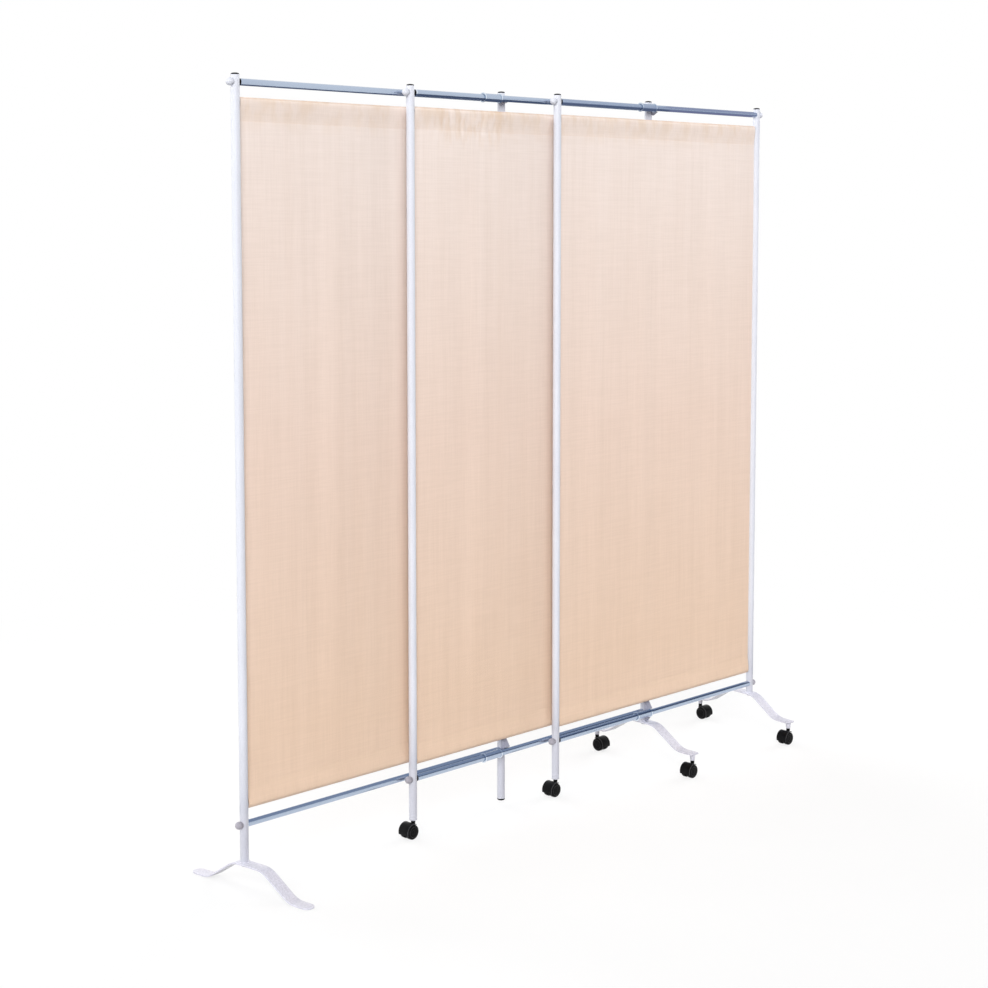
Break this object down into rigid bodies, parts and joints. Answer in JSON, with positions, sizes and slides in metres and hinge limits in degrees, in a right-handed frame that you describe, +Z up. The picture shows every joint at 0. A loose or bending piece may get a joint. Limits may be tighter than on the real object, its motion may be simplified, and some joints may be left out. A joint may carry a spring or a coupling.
{
  "type": "ward privacy screen",
  "caption": "Ward privacy screen on wheels: framed beige curtain panels slide past each other on sleeve guides, on a flat-bar foot and swivel casters.",
  "frame": {"origin": "floor level, on the middle panel's plane, midway between the two outer posts, with the screen in its pictured, extended state", "axes": "X along the screen from the standing foot to the far caster foot, Y through it with the front towards -Y, +Z up"},
  "size_m": [1.8548, 0.3738, 1.749],
  "materials": {
    "post_paint": "gloss white powder coat, slightly cool",
    "foot_paint": "gloss white powder coat, slightly cool",
    "rail": "polished plated tube",
    "guide": "polished plated sleeve with bright flanges",
    "curtain": "matt woven cloth, pale peach beige",
    "curtain_rod": "plain bright wire",
    "end_plug": "moulded black plastic",
    "tip": "black rubber",
    "bolt": "zinc plated",
    "caster_housing": "moulded black nylon",
    "wheel": "moulded black nylon, slightly worn"
  },
  "bodies": {
    "panel_a": {"post_a_left": "post_paint", "post_a_right": "post_paint", "rail_a_top": "rail", "rail_a_bottom": "rail", "curtain_rod_a_top": "curtain_rod", "curtain_rod_a_bottom": "curtain_rod", "curtain_a": "curtain", "end_plug_a_left": "end_plug", "end_plug_a_right": "end_plug", "tip_a_right": "tip", "guide_a_top": "guide", "guide_a_bottom": "guide", "foot_a": "foot_paint", "foot_bolt_a": "bolt"},
    "panel_b": {"post_b_left": "post_paint", "post_b_right": "post_paint", "rail_b_top": "rail", "rail_b_bottom": "rail", "curtain_rod_b_top": "curtain_rod", "curtain_rod_b_bottom": "curtain_rod", "curtain_b": "curtain", "end_plug_b_left": "end_plug", "end_plug_b_right": "end_plug", "guide_b_top": "guide", "guide_b_bottom": "guide", "foot_b": "foot_paint", "foot_bolt_b": "bolt"},
    "panel_c": {"post_c_left": "post_paint", "post_c_right": "post_paint", "rail_c_top": "rail", "rail_c_bottom": "rail", "curtain_rod_c_top": "curtain_rod", "curtain_rod_c_bottom": "curtain_rod", "curtain_c": "curtain", "end_plug_c_left": "end_plug", "end_plug_c_right": "end_plug", "foot_c": "foot_paint", "foot_bolt_c": "bolt"},
    "caster_b_left": {"caster_b_left_housing": "caster_housing"},
    "caster_b_left_wheel_1": {"caster_b_left_wheel_1": "wheel"},
    "caster_b_left_wheel_2": {"caster_b_left_wheel_2": "wheel"},
    "caster_c_left": {"caster_c_left_housing": "caster_housing"},
    "caster_c_left_wheel_1": {"caster_c_left_wheel_1": "wheel"},
    "caster_c_left_wheel_2": {"caster_c_left_wheel_2": "wheel"},
    "caster_b_front": {"caster_b_front_housing": "caster_housing"},
    "caster_b_front_wheel_1": {"caster_b_front_wheel_1": "wheel"},
    "caster_b_front_wheel_2": {"caster_b_front_wheel_2": "wheel"},
    "caster_b_back": {"caster_b_back_housing": "caster_housing"},
    "caster_b_back_wheel_1": {"caster_b_back_wheel_1": "wheel"},
    "caster_b_back_wheel_2": {"caster_b_back_wheel_2": "wheel"},
    "caster_c_front": {"caster_c_front_housing": "caster_housing"},
    "caster_c_front_wheel_1": {"caster_c_front_wheel_1": "wheel"},
    "caster_c_front_wheel_2": {"caster_c_front_wheel_2": "wheel"},
    "caster_c_back": {"caster_c_back_housing": "caster_housing"},
    "caster_c_back_wheel_1": {"caster_c_back_wheel_1": "wheel"},
    "caster_c_back_wheel_2": {"caster_c_back_wheel_2": "wheel"}
  },
  "joints": [
    {"name": "slide_b", "type": "slide", "parent": "panel_a", "child": "panel_b", "axis": [1, 0, 0], "range_m": [-0.41, 0.21]},
    {"name": "slide_c", "type": "slide", "parent": "panel_b", "child": "panel_c", "axis": [1, 0, 0], "range_m": [-0.355, 0.3]},
    {"name": "swivel_b_left", "type": "hinge", "parent": "panel_b", "child": "caster_b_left", "pos_m": [-0.407, 0, 0.042], "axis": [0, 0, 1], "continuous": true},
    {"name": "spin_b_left_1", "type": "hinge", "parent": "caster_b_left", "child": "caster_b_left_wheel_1", "pos_m": [-0.42, 0.01, 0.01765], "axis": [0, 1, 0], "continuous": true},
    {"name": "spin_b_left_2", "type": "hinge", "parent": "caster_b_left", "child": "caster_b_left_wheel_2", "pos_m": [-0.42, -0.01, 0.01765], "axis": [0, 1, 0], "continuous": true},
    {"name": "swivel_c_left", "type": "hinge", "parent": "panel_c", "child": "caster_c_left", "pos_m": [0.069, -0.023, 0.042], "axis": [0, 0, 1], "continuous": true},
    {"name": "spin_c_left_1", "type": "hinge", "parent": "caster_c_left", "child": "caster_c_left_wheel_1", "pos_m": [0.056, -0.013, 0.01765], "axis": [0, 1, 0], "continuous": true},
    {"name": "spin_c_left_2", "type": "hinge", "parent": "caster_c_left", "child": "caster_c_left_wheel_2", "pos_m": [0.056, -0.033, 0.01765], "axis": [0, 1, 0], "continuous": true},
    {"name": "swivel_b_front", "type": "hinge", "parent": "panel_b", "child": "caster_b_front", "pos_m": [0.43723, -0.1726, 0.042], "axis": [0, 0, 1], "continuous": true},
    {"name": "spin_b_front_1", "type": "hinge", "parent": "caster_b_front", "child": "caster_b_front_wheel_1", "pos_m": [0.42423, -0.1626, 0.01765], "axis": [0, 1, 0], "continuous": true},
    {"name": "spin_b_front_2", "type": "hinge", "parent": "caster_b_front", "child": "caster_b_front_wheel_2", "pos_m": [0.42423, -0.1826, 0.01765], "axis": [0, 1, 0], "continuous": true},
    {"name": "swivel_b_back", "type": "hinge", "parent": "panel_b", "child": "caster_b_back", "pos_m": [0.46077, 0.1726, 0.042], "axis": [0, 0, 1], "continuous": true},
    {"name": "spin_b_back_1", "type": "hinge", "parent": "caster_b_back", "child": "caster_b_back_wheel_1", "pos_m": [0.45077, 0.1596, 0.01765], "axis": [-1, 0, 0], "continuous": true},
    {"name": "spin_b_back_2", "type": "hinge", "parent": "caster_b_back", "child": "caster_b_back_wheel_2", "pos_m": [0.47077, 0.1596, 0.01765], "axis": [-1, 0, 0], "continuous": true},
    {"name": "swivel_c_front", "type": "hinge", "parent": "panel_c", "child": "caster_c_front", "pos_m": [0.87109, -0.17139, 0.042], "axis": [0, 0, 1], "continuous": true},
    {"name": "spin_c_front_1", "type": "hinge", "parent": "caster_c_front", "child": "caster_c_front_wheel_1", "pos_m": [0.85809, -0.16139, 0.01765], "axis": [0, 1, 0], "continuous": true},
    {"name": "spin_c_front_2", "type": "hinge", "parent": "caster_c_front", "child": "caster_c_front_wheel_2", "pos_m": [0.85809, -0.18139, 0.01765], "axis": [0, 1, 0], "continuous": true},
    {"name": "swivel_c_back", "type": "hinge", "parent": "panel_c", "child": "caster_c_back", "pos_m": [0.92163, 0.1709, 0.042], "axis": [0, 0, 1], "continuous": true},
    {"name": "spin_c_back_1", "type": "hinge", "parent": "caster_c_back", "child": "caster_c_back_wheel_1", "pos_m": [0.91163, 0.1579, 0.01765], "axis": [-1, 0, 0], "continuous": true},
    {"name": "spin_c_back_2", "type": "hinge", "parent": "caster_c_back", "child": "caster_c_back_wheel_2", "pos_m": [0.93163, 0.1579, 0.01765], "axis": [-1, 0, 0], "continuous": true}
  ]
}
